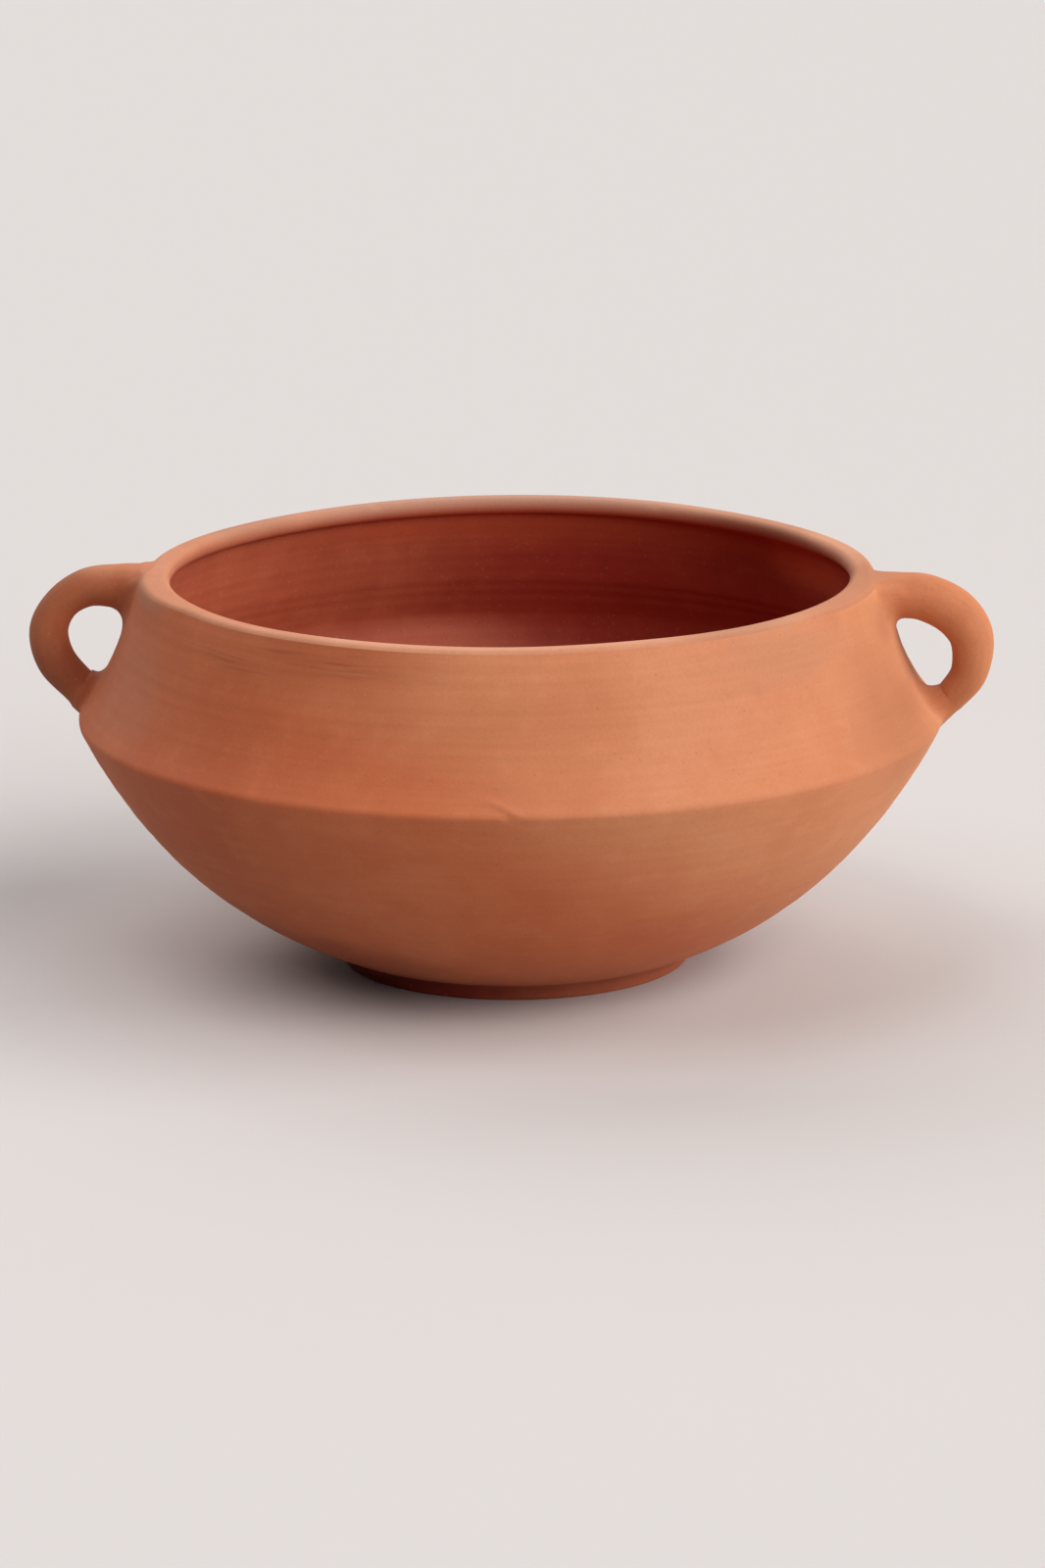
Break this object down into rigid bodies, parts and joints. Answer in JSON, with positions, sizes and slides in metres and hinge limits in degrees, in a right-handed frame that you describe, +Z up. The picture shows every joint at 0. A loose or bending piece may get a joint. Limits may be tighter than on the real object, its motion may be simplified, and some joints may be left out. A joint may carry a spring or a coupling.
{
  "type": "two-handled terracotta bowl",
  "caption": "Wide terracotta bowl with a keeled belly, turned-in shoulder, rolled lip, low foot ring and two small loop handles at the rim.",
  "frame": {"origin": "centre of the foot ring's standing face", "axes": "+Z up along the bowl's axis, +X along the line of the two handles, +Y towards the back as pictured"},
  "size_m": [0.3366, 0.3, 0.1383],
  "materials": {
    "body_clay": "unglazed matte terracotta, fine sandy grain with faint turning lines",
    "rim_clay": "unglazed matte terracotta, smoothed by hand",
    "foot_clay": "unglazed matte terracotta, turned and slightly darker",
    "handle_clay": "unglazed matte terracotta, pulled by hand and wiped smooth"
  },
  "bodies": {
    "root": {"lower_bowl": "body_clay", "shoulder_wall": "body_clay", "rim_lip": "rim_clay", "foot_ring": "foot_clay", "handle_left": "handle_clay", "handle_right": "handle_clay"}
  },
  "joints": []
}
